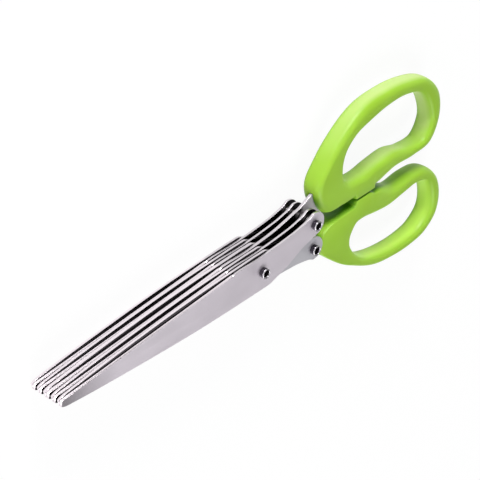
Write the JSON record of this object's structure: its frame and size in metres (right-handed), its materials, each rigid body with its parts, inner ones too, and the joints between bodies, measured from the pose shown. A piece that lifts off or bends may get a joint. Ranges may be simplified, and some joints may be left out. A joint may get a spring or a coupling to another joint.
{
  "type": "herb scissors",
  "caption": "Herb scissors: a stack of paired steel blades on a common pivot rivet, with green moulded plastic finger-loop handles.",
  "frame": {"origin": "on the pivot axis, at the surface that the closed scissors lie on", "axes": "+X from the pivot to the handles, +Y to the upper handle, +Z along the pivot to the rivets' formed ends"},
  "size_m": [0.1946, 0.0736, 0.0176],
  "materials": {
    "green_plastic": "satin",
    "blade_steel": "ground",
    "rivet_steel": "polished",
    "spacer_steel": "turned"
  },
  "bodies": {
    "upper_set": {"upper_handle": "green_plastic", "upper_blade_1": "blade_steel", "upper_blade_2": "blade_steel", "upper_blade_3": "blade_steel", "upper_blade_4": "blade_steel", "upper_blade_5": "blade_steel", "upper_rear_rivet": "rivet_steel", "upper_spacer_1": "spacer_steel", "upper_spacer_2": "spacer_steel", "upper_spacer_3": "spacer_steel", "upper_spacer_4": "spacer_steel", "pivot_rivet": "rivet_steel", "pivot_spacer_1": "spacer_steel", "pivot_spacer_2": "spacer_steel", "pivot_spacer_3": "spacer_steel", "pivot_spacer_4": "spacer_steel"},
    "lower_set": {"lower_handle": "green_plastic", "lower_blade_1": "blade_steel", "lower_blade_2": "blade_steel", "lower_blade_3": "blade_steel", "lower_blade_4": "blade_steel", "lower_blade_5": "blade_steel", "lower_rear_rivet": "rivet_steel", "lower_spacer_1": "spacer_steel", "lower_spacer_2": "spacer_steel", "lower_spacer_3": "spacer_steel", "lower_spacer_4": "spacer_steel"}
  },
  "joints": [
    {"name": "pivot", "type": "hinge", "parent": "upper_set", "child": "lower_set", "pos_m": [0, 0, 0.0083], "axis": [0, 0, -1], "range_deg": [0, 70]}
  ]
}
